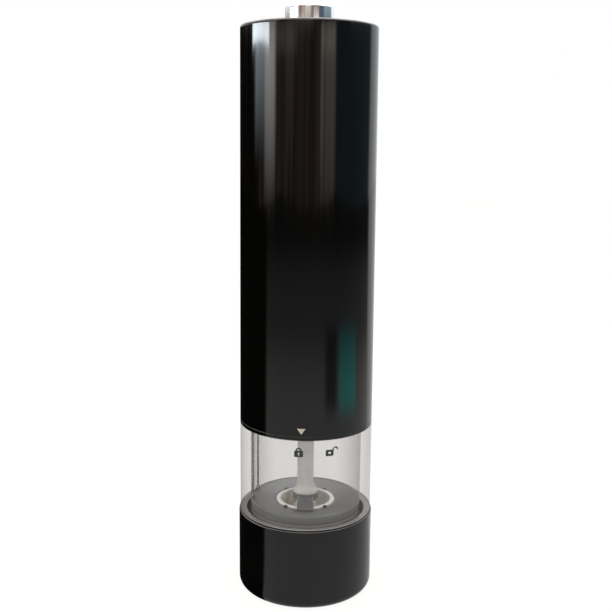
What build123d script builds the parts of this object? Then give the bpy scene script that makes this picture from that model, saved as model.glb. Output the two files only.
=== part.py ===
from build123d import *
from math import acos, cos, pi, radians, sin, tan
import os

# Pepper mill, battery driven. Millimetres, +Z up, origin at the middle of the base's rest plane.
# The padlock marks face -Y. Azimuths below are counted from -Y towards +X.

# ---- driving dimensions ----
SLEEVE_R = 25.5
SLEEVE_FOOT_R = 25.9
SLEEVE_WALL = 0.6
SLEEVE_TOP = 217.0
SPLIT_Z = 67.0
COLLAR_RIM = 1.7
HOPPER_R = 25.9
BASE_R = 26.4
HOPPER_BORE = 21.8
NECK_R = 23.4
NECK_TOP = 75.0
BASE_TOP = 31.7
BASE_ROUND = 3.2
RIM_IN = 18.6
FLOOR_Z = 34.6
BURR_R = 11.5
SHAFT_R = 2.0
TUBE_R = 3.25
BUTTON_R = 9.0
BUTTON_TOP = 224.0
BUTTON_TRAVEL = 2.5
CELL_R = 7.25
CELL_PITCH = 8.0
MODULE = 0.65
SUN_TEETH = 12
PLANET_TEETH = 18
RING_TEETH = 48
PRESSURE = radians(25)
GEAR_CENTRES = 9.75
LUG_ANGLES = (90, 210, 330)
LEAD_ANGLES = (158, 183)
LEAD_R = 20.9

os.makedirs("parts", exist_ok=True)


def save(name, shape):
    """Write one node as a STEP file."""
    export_step(shape, f"parts/{name}.step")


def disc(r, z0, z1, x=0.0, y=0.0):
    """Solid cylinder from z0 to z1."""
    return Pos(x, y, z0) * Cylinder(r, z1 - z0, align=(Align.CENTER, Align.CENTER, Align.MIN))


def ring(r_out, r_in, z0, z1, x=0.0, y=0.0):
    """Tube from z0 to z1."""
    return disc(r_out, z0, z1, x, y) - disc(r_in, z0 - 1, z1 + 1, x, y)


def block(dx, dy, z0, z1, x=0.0, y=0.0):
    """Box of plan size dx by dy from z0 to z1."""
    return Pos(x, y, (z0 + z1) / 2) * Box(dx, dy, z1 - z0)


def lathe(*points):
    """Solid of revolution about Z from (r, z) corners, a third value rounding that corner."""
    outline = Polyline(*[(p[0], 0, p[1]) for p in points], close=True)
    face = make_face(outline)
    for p in points:
        if len(p) == 3:
            corner = min(face.vertices(), key=lambda v: abs(v.X - p[0]) + abs(v.Z - p[1]))
            face = fillet(corner, p[2])
    return revolve(face, Axis.Z)


def around(shape, count, start=0.0):
    """Copies of a shape turned evenly about Z."""
    return [Rot(0, 0, start + 360 * k / count) * shape for k in range(count)]


def wedge(r_out, r_in, z0, z1, middle, half):
    """Sector of a tube, centred on an angle from +X and reaching half degrees each way."""
    outer = CenterArc((0, 0, 0), r_out, middle - half, 2 * half)
    inner = CenterArc((0, 0, 0), r_in, middle - half, 2 * half)
    plan = make_face([outer, inner, Line(outer @ 0, inner @ 0), Line(outer @ 1, inner @ 1)])
    return Pos(0, 0, z0) * extrude(plan, z1 - z0)


def polar(r, angle):
    """Plan position at a radius and an angle from +X."""
    return r * cos(radians(angle)), r * sin(radians(angle))


# ---- base: shell, cage, burrs' fixed half, floor ----
shell_profile = (
    (BASE_R, 0.0, BASE_ROUND),
    (BASE_R, BASE_TOP - 0.2, 0.5),
    (NECK_R + 0.1, BASE_TOP - 0.2),
    (NECK_R + 0.1, 3.6),
    (13.4, 3.6),
    (13.4, 1.4),
    (RIM_IN, 1.4),
    (RIM_IN, 0.0),
)
base_shell = lathe(*shell_profile)
lens_x, lens_y = polar(16.1, 180)
base_shell -= disc(1.7, 0, 5, lens_x, lens_y)
save("base_shell", base_shell)

grinder_cage = lathe(
    (12.4, 3.6),
    (14.4, 3.6),
    (14.4, 26.0),
    (21.6, 26.0),
    (21.6, 28.6),
    (BURR_R, 28.6),
    (BURR_R, 19.0),
    (10.6, 19.0),
    (10.6, 17.8),
    (12.4, 16.0),
)
for angle in LEAD_ANGLES:
    grinder_cage -= disc(0.95, 25, 30, *polar(LEAD_R, angle))
key_spots = [polar(BURR_R + 0.45, angle) for angle in (50, 130, 230, 310)]
for x, y in key_spots:
    grinder_cage += disc(0.75, 28.0, FLOOR_Z + 0.5, x, y)
save("grinder_cage", grinder_cage)

outer_burr = lathe(
    (9.4, 19.0),
    (BURR_R, 19.0),
    (BURR_R, FLOOR_Z + 0.4, 0.4),
    (9.7, FLOOR_Z + 0.4, 0.4),
    (8.2, 26.0),
)
for groove in around(Pos(9.3, 0, 31) * Rot(0, -14, 12) * Cylinder(0.95, 14), 12, 15):
    outer_burr -= groove
for groove in around(Pos(8.75, 0, 22.5) * Rot(0, 10, -8) * Cylinder(0.3, 8.2), 30, 3):
    outer_burr -= groove
for x, y in key_spots:
    outer_burr -= disc(0.75, 28.0, FLOOR_Z + 1.0, x, y)
save("outer_burr", outer_burr)

hopper_floor = lathe(
    (BURR_R, 28.6),
    (HOPPER_BORE - 0.1, 28.6),
    (HOPPER_BORE - 0.1, FLOOR_Z + 0.9),
    (HOPPER_BORE - 0.6, FLOOR_Z + 0.9),
    (BURR_R + 1.3, FLOOR_Z),
    (BURR_R, FLOOR_Z, 0.3),
)
for angle in LEAD_ANGLES:
    hopper_floor -= disc(0.95, 28, 40, *polar(LEAD_R, angle))
for x, y in key_spots:
    hopper_floor -= disc(0.75, 28, 40, x, y)
save("hopper_floor", hopper_floor)

# bridge across the feed hole, carrying the shaft's upper bush
arm = Polyline(
    (0, -13.6, FLOOR_Z + 0.12),
    (0, -13.6, FLOOR_Z + 1.2),
    (0, -5.0, FLOOR_Z + 2.6),
    (0, 5.0, FLOOR_Z + 2.6),
    (0, 13.6, FLOOR_Z + 1.2),
    (0, 13.6, FLOOR_Z + 0.12),
    (0, 12.9, FLOOR_Z + 0.05),
    (0, 11.9, FLOOR_Z + 0.5),
    (0, -11.9, FLOOR_Z + 0.5),
    (0, -12.9, FLOOR_Z + 0.05),
    close=True,
)
feed_bridge = extrude(make_face(arm), 3.2, both=True, dir=(1, 0, 0))
feed_bridge += disc(5.0, FLOOR_Z + 0.5, FLOOR_Z + 3.2)
feed_bridge -= disc(2.9, FLOOR_Z - 2, FLOOR_Z + 5)
save("feed_bridge", feed_bridge)
save("shaft_bush", lathe(
    (SHAFT_R + 0.05, FLOOR_Z - 0.4),
    (3.4, FLOOR_Z - 0.4),
    (3.4, FLOOR_Z + 0.5),
    (2.9, FLOOR_Z + 0.5),
    (2.9, FLOOR_Z + 3.2),
    (SHAFT_R + 0.05, FLOOR_Z + 3.2),
))
tube_foot = FLOOR_Z + 3.2
save("shaft_tube", lathe(
    (TUBE_R - 0.5, tube_foot),
    (5.0, tube_foot),
    (5.0, tube_foot + 0.7, 0.3),
    (TUBE_R, tube_foot + 3.2),
    (TUBE_R, 72.0, 0.2),
    (TUBE_R - 0.5, 72.0),
))

# ---- clear hopper with bayonet lugs on its neck ----
hopper = lathe(
    (HOPPER_BORE, 24.6),
    (NECK_R, 24.6),
    (NECK_R, BASE_TOP),
    (HOPPER_R, BASE_TOP, 0.5),
    (HOPPER_R, SPLIT_Z - 0.2, 0.4),
    (NECK_R, SPLIT_Z - 0.2),
    (NECK_R, NECK_TOP, 0.3),
    (HOPPER_BORE, NECK_TOP, 0.3),
)
for angle in LUG_ANGLES:
    hopper += wedge(NECK_R + 1.0, NECK_R - 0.5, 70.0, 72.0, angle, 12)
save("hopper", hopper)

# lamp leads up the hopper's inner wall, each standing in a thicker post
leads = []
for angle in LEAD_ANGLES:
    x, y = polar(LEAD_R, angle)
    tip = Pos(x, y, 36.0) * Cone(0.85, 0.35, 1.6, align=(Align.CENTER, Align.CENTER, Align.MIN))
    leads.append(disc(0.85, 26.2, 36.0, x, y) + tip + disc(0.35, 36.0, 72.6, x, y))
save("lamp_lead_rods", Part() + leads)

# lamp under the base
save("lamp_lens", disc(1.7, 1.0, 3.4, lens_x, lens_y))
lamp = disc(1.5, 5.0, 8.6, lens_x, lens_y) + Pos(lens_x, lens_y, 5.0) * Sphere(1.5)
save("lamp", lamp + block(3.4, 6.4, 8.6, 9.6, lens_x - 1.0, lens_y))


def wire(points, radii, gauge):
    """Round wire along straight runs joined by tangent arcs."""
    path = FilletPolyline(*points, radius=radii)
    start = Plane(origin=path @ 0, z_dir=path % 0)
    return sweep(start * Circle(gauge), path=path)


lamp_wires = []
for angle, side in zip(LEAD_ANGLES, (1.6, -1.6)):
    x, y = polar(LEAD_R, angle)
    run = [(lens_x - 1.5, side, 9.6), (lens_x - 1.5, side, 16.0), (x, y, 20.0), (x, y, 26.2)]
    lamp_wires.append(wire(run, [2.5, 2.5], 0.35))
save("lamp_wires", Part() + lamp_wires)

# ---- printed marks ----


def label(sketch, azimuth, z, r):
    """A flat outline wrapped as a thin film on a cylinder of radius r."""
    plate = extrude(sketch, 6)
    placed = Rot(0, 0, azimuth) * (Pos(0, -r + 3, z) * (Rot(90, 0, 0) * plate))
    return placed & ring(r + 0.06, r, z - 10, z + 10)


body_plan = RectangleRounded(3.3, 2.5, 0.4)
keyhole = Pos(0, 0.15) * Circle(0.42) + Pos(0, -0.35) * Rectangle(0.42, 0.9)
shackle = Pos(0, 1.2) * (Circle(1.15) - Circle(0.65)) & Pos(0, 2.2) * Rectangle(4, 2.2)
closed_lock = Pos(0, -0.7) * (body_plan - keyhole + shackle)
open_body = RectangleRounded(3.1, 2.4, 0.4) - Rectangle(1.0, 0.8)
swung = Pos(2.3, 1.1) * (Circle(1.15) - Circle(0.65)) & Pos(2.3, 2.1) * Rectangle(4, 2.1)
open_lock = Pos(0, -0.7) * (open_body + swung)
locked = label(closed_lock, -5.8, SPLIT_Z - 4.2, HOPPER_R)
unlocked = label(open_lock, 20.0, SPLIT_Z - 4.2, HOPPER_R)
save("padlock_marks", Part() + [locked, unlocked])
pointer = make_face(Polyline((-1.55, 1.1), (1.55, 1.1), (0, -1.1), close=True))
save("pointer_mark", label(pointer, -3.8, SPLIT_Z + 3.6, SLEEVE_FOOT_R))

# ---- grind adjuster under the base ----
spider = ring(12.4, 11.2, 7.0, 9.4) + ring(7.0, 5.8, 7.0, 14.0) + ring(7.0, 4.3, 7.0, 9.0)
for arm_block in around(block(6.0, 2.2, 7.0, 9.4, 9.0), 3, 30):
    spider += arm_block - disc(6.5, 5, 12)
for angle in (0, 180):
    spider += Rot(0, 0, angle) * block(1.3, 1.2, 10.6, 14.0, 5.35)
save("adjuster_spider", spider)
knob = disc(6.4, 0.9, 6.9) + disc(4.2, 6.9, 9.1) + disc(4.9, 9.1, 10.1)
knob = chamfer(knob.edges().filter_by(GeomType.CIRCLE).group_by(Axis.Z)[0], 0.5)
for groove in around(disc(0.5, 0, 6.0, 6.6), 20):
    knob -= groove
knob -= block(1.2, 12, 8.0, 11)
knob -= disc(2.55, 0, 12)
save("adjuster_knob", knob)
adjuster = disc(2.5, 2.2, 11.4) + disc(5.6, 11.4, 13.2)
for angle in (0, 180):
    adjuster -= Rot(0, 0, angle) * block(1.6, 1.4, 11, 14, 5.3)
adjuster -= disc(1.55, 12.4, 14)
adjuster -= block(3.6, 0.8, 2, 3.2)
save("adjuster_screw", adjuster)
save("thrust_ball", Pos(0, 0, 13.9) * Sphere(1.5))

# ---- drive shaft with the turning burr ----
SHAFT_ROUND_TOP = 75.0
flat_end = block(4.4, 1.5, SHAFT_ROUND_TOP - 0.5, 79.2)
shaft_top = disc(SHAFT_R, 15.45, SHAFT_ROUND_TOP) + flat_end & disc(2.25, 15, 80)
shaft_top -= ring(2.5, 1.6, 16.9, 17.5)
save("drive_shaft", shaft_top)
save("burr_clip", (ring(3.4, 1.6, 16.95, 17.45) - block(3, 2.4, 16, 18, 3.0)))
inner_burr = lathe(
    (SHAFT_R, 17.5),
    (8.3, 17.5),
    (8.95, 19.0),
    (7.75, 26.0),
    (4.6, 32.6, 0.5),
    (SHAFT_R, 32.6),
)
for groove in around(Pos(6.7, 0, 29.6) * Rot(0, -25, 0) * Rot(28, 0, 0) * Cylinder(1.35, 12), 6):
    inner_burr -= groove
for groove in around(Pos(8.75, 0, 22.2) * Rot(0, -10, 0) * Rot(14, 0, 0) * Cylinder(0.35, 9.4), 24, 7):
    inner_burr -= groove
save("inner_burr", inner_burr)


def coil(r, gauge, z0, z1, turns, x=0.0, y=0.0):
    """Round-wire coil spring standing on z0."""
    path = Helix(pitch=(z1 - z0 - 2 * gauge) / turns, height=z1 - z0 - 2 * gauge, radius=r)
    start = Plane(origin=path @ 0, z_dir=path % 0)
    return Pos(x, y, z0 + gauge) * sweep(start * Circle(gauge), path=path, is_frenet=True)


save("burr_spring", coil(2.75, 0.2, 32.65, FLOOR_Z - 0.45, 2.0))

# ---- seal between hopper and motor unit ----
save("seal_ring", lathe(
    (HOPPER_BORE + 0.2, NECK_TOP + 0.05, 0.2),
    (NECK_R - 0.1, NECK_TOP + 0.05, 0.2),
    (NECK_R - 0.1, NECK_TOP + 1.15, 0.2),
    (HOPPER_BORE + 0.2, NECK_TOP + 1.15, 0.2),
))

# ---- motor unit: sleeve, collar, chassis ----
inside = SLEEVE_R - SLEEVE_WALL
save("outer_sleeve", lathe(
    (inside, SPLIT_Z + COLLAR_RIM),
    (SLEEVE_FOOT_R, SPLIT_Z + COLLAR_RIM),
    (SLEEVE_R, SLEEVE_TOP, 0.9),
    (SLEEVE_R - 1.9, SLEEVE_TOP, 0.5),
    (SLEEVE_R - 1.9, SLEEVE_TOP - 0.9),
    (inside, SLEEVE_TOP - 0.9),
))
collar = lathe(
    (NECK_R + 1.15, SPLIT_Z),
    (SLEEVE_FOOT_R, SPLIT_Z, 0.3),
    (SLEEVE_FOOT_R, SPLIT_Z + COLLAR_RIM - 0.1, 0.2),
    (inside, SPLIT_Z + COLLAR_RIM - 0.1),
    (inside, 76.3),
    (NECK_R + 0.1, 76.3),
    (NECK_R + 0.1, 72.4),
    (NECK_R + 1.15, 72.4),
)
for angle in LUG_ANGLES:
    collar += wedge(NECK_R + 1.3, NECK_R + 0.1, SPLIT_Z, 69.6, angle, 12)
save("lower_collar", collar)
chassis = disc(inside, 76.3, 79.5) - disc(5.7, 70, 80)
for angle in LEAD_ANGLES:
    chassis -= disc(0.9, 70, 80, *polar(LEAD_R, angle))
screw_spots = [polar(17.4, angle) for angle in (30, 150, 270)]
for x, y in screw_spots:
    chassis -= disc(1.1, 70, 80, x, y) + disc(2.1, 70, 77.6, x, y)
save("chassis_plate", chassis)
screws = [
    disc(2.0, 76.4, 77.6, x, y) + disc(1.05, 77.6, 84.0, x, y) - block(3.0, 0.6, 76, 76.9, x, y)
    for x, y in screw_spots
]
save("gearbox_screws", Part() + screws)
pins = []
for angle in LEAD_ANGLES:
    x, y = polar(LEAD_R, angle)
    pins.append(disc(0.85, 74.2, 82.0, x, y) + disc(0.5, 72.7, 74.2, x, y))
save("lamp_contact_pins", Part() + pins)
frame_sides = [wedge(inside, 23.1, 79.5, 211.0, angle, 34) for angle in (90, 270)]
save("side_frames", Part() + frame_sides)

# ---- planetary gears ----


def involute_gear(teeth, z0, z1, turn=0.0, inner=False, thin=0.05):
    """Spur gear, or the cutter for an internal one, with a tooth or a space centred on the turn angle."""
    pitch_r = MODULE * teeth / 2
    base_r = pitch_r * cos(PRESSURE)
    tip_r = pitch_r + (1.15 if inner else 0.88) * MODULE
    root_r = pitch_r - (0.9 if inner else 1.15) * MODULE
    low = max(root_r, base_r * 1.001)
    spread = tan(PRESSURE) - PRESSURE
    half = pi / (2 * teeth) + spread + (thin if inner else -thin) / pitch_r

    def flank(r):
        a = acos(base_r / r)
        return half - (tan(a) - a)

    edges = []
    step = 2 * pi / teeth
    for k in range(teeth):
        c = radians(turn) + k * step
        radii = (low, (low + tip_r) / 2, tip_r)
        right = [(r * cos(c - flank(r)), r * sin(c - flank(r))) for r in radii]
        left = [(r * cos(c + flank(r)), r * sin(c + flank(r))) for r in radii]
        foot_r = (root_r * cos(c - flank(low)), root_r * sin(c - flank(low)))
        foot_l = (root_r * cos(c + flank(low)), root_r * sin(c + flank(low)))
        if low > root_r + 1e-6:
            edges.append(Line(foot_r, right[0]))
            edges.append(Line(left[0], foot_l))
        edges.append(ThreePointArc(*right))
        edges.append(ThreePointArc(right[2], (tip_r * cos(c), tip_r * sin(c)), left[2]))
        edges.append(ThreePointArc(*left[::-1]))
        n = c + step / 2
        last = (root_r * cos(c + step - flank(low)), root_r * sin(c + step - flank(low)))
        edges.append(ThreePointArc(foot_l, (root_r * cos(n), root_r * sin(n)), last))
    return Pos(0, 0, z0) * extrude(make_face(edges), z1 - z0)


GEAR2 = (82.3, 88.6)
GEAR1 = (91.0, 97.4)
PLANET_ANGLES = (0, 120, 240)
planet_spots = [polar(GEAR_CENTRES, angle) for angle in PLANET_ANGLES]
half_space = 180 / SUN_TEETH

housing = disc(18.9, 79.5, 98.4)
housing -= involute_gear(RING_TEETH, 79.0, 99.0, 0.0, inner=True)
for x, y in screw_spots:
    housing += disc(2.4, 79.5, 86.0, x, y) - disc(15.0, 70, 99)
for x, y in screw_spots:
    housing -= disc(1.05, 79, 84.0, x, y)
housing -= involute_gear(RING_TEETH, 79.0, 99.0, 0.0, inner=True)
housing += disc(18.9, 98.4, 100.0) - disc(5.05, 98, 101)
save("ring_gear_housing", housing)

tooth_turn = 180
for k, (x, y) in enumerate(planet_spots):
    low = involute_gear(PLANET_TEETH, *GEAR2, tooth_turn) - disc(1.25, 80, 90)
    high = involute_gear(PLANET_TEETH, *GEAR1, tooth_turn) - disc(1.25, 90, 99)
    low = low + ring(2.2, 1.25, GEAR2[0] - 0.2, GEAR2[0])
    high = high + ring(2.2, 1.25, GEAR1[0] - 0.2, GEAR1[0])
    save(f"low_planet_{k + 1}", Pos(x, y, 0) * (Rot(0, 0, PLANET_ANGLES[k]) * low))
    save(f"high_planet_{k + 1}", Pos(x, y, 0) * (Rot(0, 0, PLANET_ANGLES[k]) * high))

socket = disc(5.6, 73.6, 80.2) + disc(13.6, 80.2, 82.0)
for x, y in planet_spots:
    socket += disc(1.2, 82.0, GEAR2[1] + 0.2, x, y)
# round mouth for the shaft, then a bow-tie that gives its flat end the bayonet's turn
slot = disc(2.45, 73.0, 80.4)
flat_face = block(6.0, 3.0, SHAFT_ROUND_TOP + 0.9, 82, 0, 2.32)
stop = Rot(0, 0, 4) * flat_face & Rot(0, 0, -31) * flat_face
for angle in (0, 180):
    slot -= Rot(0, 0, angle) * stop
socket -= slot
save("output_carrier", socket)

sun_low = involute_gear(SUN_TEETH, GEAR2[0] + 0.1, GEAR2[1] + 0.4, half_space)
first_carrier = disc(13.6, 89.0, 90.7) + sun_low
for x, y in planet_spots:
    first_carrier += disc(1.2, 90.7, GEAR1[1] + 0.5, x, y)
first_carrier -= disc(1.25, 88.0, 91.0)
save("first_carrier", first_carrier)

# ---- motor ----
can = disc(13.8, 100.0, 131.0) - disc(13.0, 101.0, 132.0) + disc(5.0, 98.4, 100.0)
can -= disc(2.6, 98, 102)
save("motor_can", can)
save("motor_magnets", Part() + [wedge(13.0, 10.4, 104.0, 124.0, angle, 55) for angle in (0, 180)])
end_cap = disc(13.0, 129.0, 131.0) + disc(13.8, 131.0, 132.4) + disc(4.0, 132.4, 134.0)
save("motor_end_cap", end_cap - disc(2.4, 128, 134.1) - disc(2.5, 128, 131))
save("motor_bushes", Part() + [ring(2.6, 1.2, 98.4, 101.0), ring(2.4, 1.2, 131.2, 134.0)])
sun_high = involute_gear(SUN_TEETH, GEAR1[0] + 0.1, GEAR1[1] + 0.4, half_space)
save("motor_pinion", sun_high - disc(1.15, 90, 99))
core = disc(9.4, 106.0, 122.0)
for slot_cut in around(block(5.0, 1.6, 105, 123, 7.4), 3, 30):
    core -= slot_cut
for hollow in around(disc(2.0, 105, 123, 5.6), 3, 30):
    core -= hollow
save("rotor", core + disc(1.15, 90.9, 133.6))
save("commutator", ring(2.3, 1.15, 124.2, 128.6))
brushes = [block(5.2, 0.4, 125.4, 127.6, 4.95 * side) for side in (-1, 1)]
tabs = [block(0.5, 2.4, 132.4, 138.0, 8.0 * side) for side in (-1, 1)]
save("brushes_and_terminals", Part() + brushes + tabs)

# ---- battery holder and cells ----
HOLDER_LOW = 140.0
CELL_LOW = 144.2
CELL_TOP = CELL_LOW + 49.3
NUB_TOP = CELL_TOP + 1.2
holder = disc(23.0, HOLDER_LOW, HOLDER_LOW + 2.0) + disc(23.0, 196.4, 198.4)
holder += block(32.0, 1.1, HOLDER_LOW + 2.0, 196.4) + block(1.1, 32.0, HOLDER_LOW + 2.0, 196.4)
for side in (-1, 1):
    holder -= block(5.0, 5.0, 139, 200, 22.6 * side)
for angle in (45, 135, 225, 315):
    holder += disc(1.5, 198.0, 199.0, *polar(15, angle))
save("battery_holder", holder)
cell_spots = [(CELL_PITCH * i, CELL_PITCH * j) for i, j in ((1, 1), (-1, 1), (-1, -1), (1, -1))]
for k, (x, y) in enumerate(cell_spots):
    up = k % 2 == 0
    cell = lathe(
        (0, CELL_LOW),
        (5.0, CELL_LOW),
        (5.4, CELL_LOW + 0.3),
        (CELL_R, CELL_LOW + 0.3, 0.5),
        (CELL_R, CELL_TOP, 0.5),
        (2.75, CELL_TOP),
        (2.75, NUB_TOP, 0.4),
        (0, NUB_TOP),
    )
    if not up:
        cell = Pos(0, 0, CELL_LOW + NUB_TOP) * (Rot(180, 0, 0) * cell)
    save(f"battery_cell_{k + 1}", Pos(x, y, 0) * cell)
springs = []
plates = []
for k, (x, y) in enumerate(cell_spots):
    if k % 2 == 0:
        springs.append(disc(4.6, 142.0, 142.3, x, y) + coil(3.6, 0.3, 142.25, CELL_LOW - 0.02, 2, x, y))
        plates.append(disc(4.0, NUB_TOP + 0.05, 196.4, x, y))
    else:
        springs.append(disc(4.6, 196.1, 196.4, x, y) + coil(3.6, 0.3, NUB_TOP + 0.02, 196.15, 2, x, y))
        plates.append(disc(4.0, 142.0, CELL_LOW - 0.05, x, y))
save("cell_contacts", Part() + springs + plates)

# ---- top: switch, cap, button ----
wire_gaps = block(8.0, 8.0, 198, 202, 20.0) + block(8.0, 8.0, 198, 202, -20.0)
save("switch_board", disc(20.0, 199.0, 200.2) - wire_gaps)
SWITCH_TOP = 209.0 - BUTTON_TRAVEL - 0.3
SPRING_SEAT = SWITCH_TOP + 0.4
switch_body = block(12.0, 12.0, 200.2, SWITCH_TOP) + disc(5.4, SWITCH_TOP, SPRING_SEAT)
save("switch_body", switch_body - disc(1.7, 202.0, 208))
save("switch_plunger", disc(1.6, 204.9, 209.4))
save("button_spring", coil(4.6, 0.35, SPRING_SEAT + 0.02, 213.4, 3.5))
save("push_button", lathe(
    (0, 209.4),
    (2.2, 209.4),
    (2.2, 213.5),
    (7.6, 213.5),
    (7.6, 209.0),
    (10.2, 209.0),
    (10.2, 210.6),
    (BUTTON_R, 210.6),
    (BUTTON_R, BUTTON_TOP, 0.6),
    (0, BUTTON_TOP),
))
save("top_cap", lathe(
    (10.4, 205.0),
    (11.8, 205.0),
    (11.8, 211.0),
    (inside, 211.0),
    (inside, SLEEVE_TOP - 0.9),
    (BUTTON_R + 0.1, SLEEVE_TOP - 0.9, 0.4),
    (BUTTON_R + 0.1, 211.0),
    (10.4, 211.0),
))

# ---- wires inside the motor unit ----
wire_x = 21.6
feed_run = [(8.85, 0, 135.4), (wire_x, 0, 135.4), (wire_x, 0, 203.6), (6.05, 0, 203.6)]
back_run = [
    (-8.85, 0, 135.4),
    (-wire_x, 0, 135.4),
    (-wire_x, 0, 204.6),
    (-12.0, 0, 204.6),
    (-12.0, 0, 200.25),
]
power = [wire(feed_run, [5.0, 5.0], 0.55), wire(back_run, [5.0, 3.8, 1.8], 0.55)]
save("power_wires", Part() + power)
lamp_runs = []
for angle, height, end_x, end_y in ((158, 137.0, 7.3, 0.8), (183, 133.4, -8.8, -0.6)):
    x, y = polar(LEAD_R, angle)
    run = [(x, y, 82.0), (x, y, height), (end_x, end_y, height)]
    lamp_runs.append(wire(run, [3.0], 0.4))
save("lamp_supply_wires", Part() + lamp_runs)
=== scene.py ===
import bpy
import bmesh
import math
from mathutils import Matrix, Vector


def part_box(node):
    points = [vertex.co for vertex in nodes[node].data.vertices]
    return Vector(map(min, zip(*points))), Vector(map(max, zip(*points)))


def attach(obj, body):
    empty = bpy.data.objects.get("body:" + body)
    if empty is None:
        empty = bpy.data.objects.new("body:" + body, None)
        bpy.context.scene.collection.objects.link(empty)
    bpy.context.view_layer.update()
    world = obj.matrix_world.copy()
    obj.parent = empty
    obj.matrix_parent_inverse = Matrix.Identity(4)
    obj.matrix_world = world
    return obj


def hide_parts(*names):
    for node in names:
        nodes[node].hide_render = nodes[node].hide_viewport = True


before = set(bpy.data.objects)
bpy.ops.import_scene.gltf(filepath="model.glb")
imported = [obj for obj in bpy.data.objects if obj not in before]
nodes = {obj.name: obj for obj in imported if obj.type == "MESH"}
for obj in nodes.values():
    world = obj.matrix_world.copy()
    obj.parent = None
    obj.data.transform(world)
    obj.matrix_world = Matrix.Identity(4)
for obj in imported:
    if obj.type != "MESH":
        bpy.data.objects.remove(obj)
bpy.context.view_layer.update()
MM = 0.001


# ---------------------------------------------------------------- mesh helpers
def add_mesh(name, verts, faces, sharp=35.0):
    """A mesh object from vertices and faces, smooth except at edges sharper than the angle given."""
    mesh = bpy.data.meshes.new(name)
    mesh.from_pydata(verts, [], faces)
    mesh.validate()
    bm = bmesh.new()
    bm.from_mesh(mesh)
    bmesh.ops.remove_doubles(bm, verts=bm.verts, dist=1e-7)
    bmesh.ops.recalc_face_normals(bm, faces=bm.faces)
    bm.to_mesh(mesh)
    bm.free()
    for polygon in mesh.polygons:
        polygon.use_smooth = True
    mesh.set_sharp_from_angle(angle=math.radians(sharp))
    obj = bpy.data.objects.new(name, mesh)
    bpy.context.scene.collection.objects.link(obj)
    return obj


def rounded(corners, steps=6):
    """A closed (r, z) outline. Corners that carry a radius become arcs.

    A support point beside each arc keeps its smooth shading off the long straight walls.
    """
    out = []
    count = len(corners)
    for i, corner in enumerate(corners):
        here = Vector(corner[:2])
        radius = corner[2] if len(corner) > 2 else 0.0
        if radius <= 0:
            out.append(here)
            continue
        edge_in = Vector(corners[i - 1][:2]) - here
        edge_out = Vector(corners[(i + 1) % count][:2]) - here
        before, after = edge_in.normalized(), edge_out.normalized()
        half = math.acos(max(-1.0, min(1.0, before.dot(after)))) / 2
        reach = radius / math.tan(half)
        centre = here + (before + after).normalized() * (radius / math.sin(half))
        first = here + before * reach - centre
        last = here + after * reach - centre
        sweep = math.atan2(first.x * last.y - first.y * last.x, first.dot(last))
        support = reach + 0.3 * MM
        if support < 0.45 * edge_in.length:
            out.append(here + before * support)
        for k in range(steps + 1):
            a = sweep * k / steps
            out.append(centre + Vector((
                first.x * math.cos(a) - first.y * math.sin(a),
                first.x * math.sin(a) + first.y * math.cos(a))))
        if support < 0.45 * edge_out.length:
            out.append(here + after * support)
    return out


def lathe(name, corners, segments=192, steps=6, wobble=None, centre=(0.0, 0.0), sharp=35.0):
    """Turns a closed outline in metres about Z. wobble(angle, r, z) may shift the radius."""
    outline = rounded(corners, steps)
    verts, faces = [], []
    rows = len(outline)
    for k in range(segments):
        a = 2 * math.pi * k / segments
        for p in outline:
            r = p.x + (wobble(a, p.x, p.y) if wobble else 0.0)
            verts.append((centre[0] + r * math.cos(a), centre[1] + r * math.sin(a), p.y))
    for k in range(segments):
        n = (k + 1) % segments
        for i in range(rows):
            j = (i + 1) % rows
            if outline[i].x < 1e-9 and outline[j].x < 1e-9:
                continue
            if outline[i].x < 1e-9:
                faces.append((k * rows + i, n * rows + j, k * rows + j))
            elif outline[j].x < 1e-9:
                faces.append((k * rows + i, n * rows + i, n * rows + j))
            else:
                faces.append((k * rows + i, n * rows + i, n * rows + j, k * rows + j))
    return add_mesh(name, verts, faces, sharp)


def prism(name, outline, z0, z1, bevel=0.0):
    """A flat outline raised from z0 to z1, its edges softened by a bevel."""
    bm = bmesh.new()
    base = bm.faces.new([bm.verts.new((x, y, z0)) for x, y in outline])
    raised = bmesh.ops.extrude_face_region(bm, geom=[base])
    top = [e for e in raised["geom"] if isinstance(e, bmesh.types.BMVert)]
    bmesh.ops.translate(bm, vec=(0, 0, z1 - z0), verts=top)
    if bevel:
        bmesh.ops.bevel(bm, geom=bm.edges[:], offset=bevel, segments=3, affect="EDGES", profile=0.5)
    bmesh.ops.recalc_face_normals(bm, faces=bm.faces)
    mesh = bpy.data.meshes.new(name)
    bm.to_mesh(mesh)
    bm.free()
    for polygon in mesh.polygons:
        polygon.use_smooth = True
    mesh.set_sharp_from_angle(angle=math.radians(35))
    obj = bpy.data.objects.new(name, mesh)
    bpy.context.scene.collection.objects.link(obj)
    return obj


def stand_for(obj, body, material, *cad_nodes):
    """The piece rides on a body, wears a material and hides the CAD nodes it stands for."""
    obj.data.materials.clear()
    obj.data.materials.append(material)
    if cad_nodes:
        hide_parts(*cad_nodes)
    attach(obj, body)
    return obj


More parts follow.
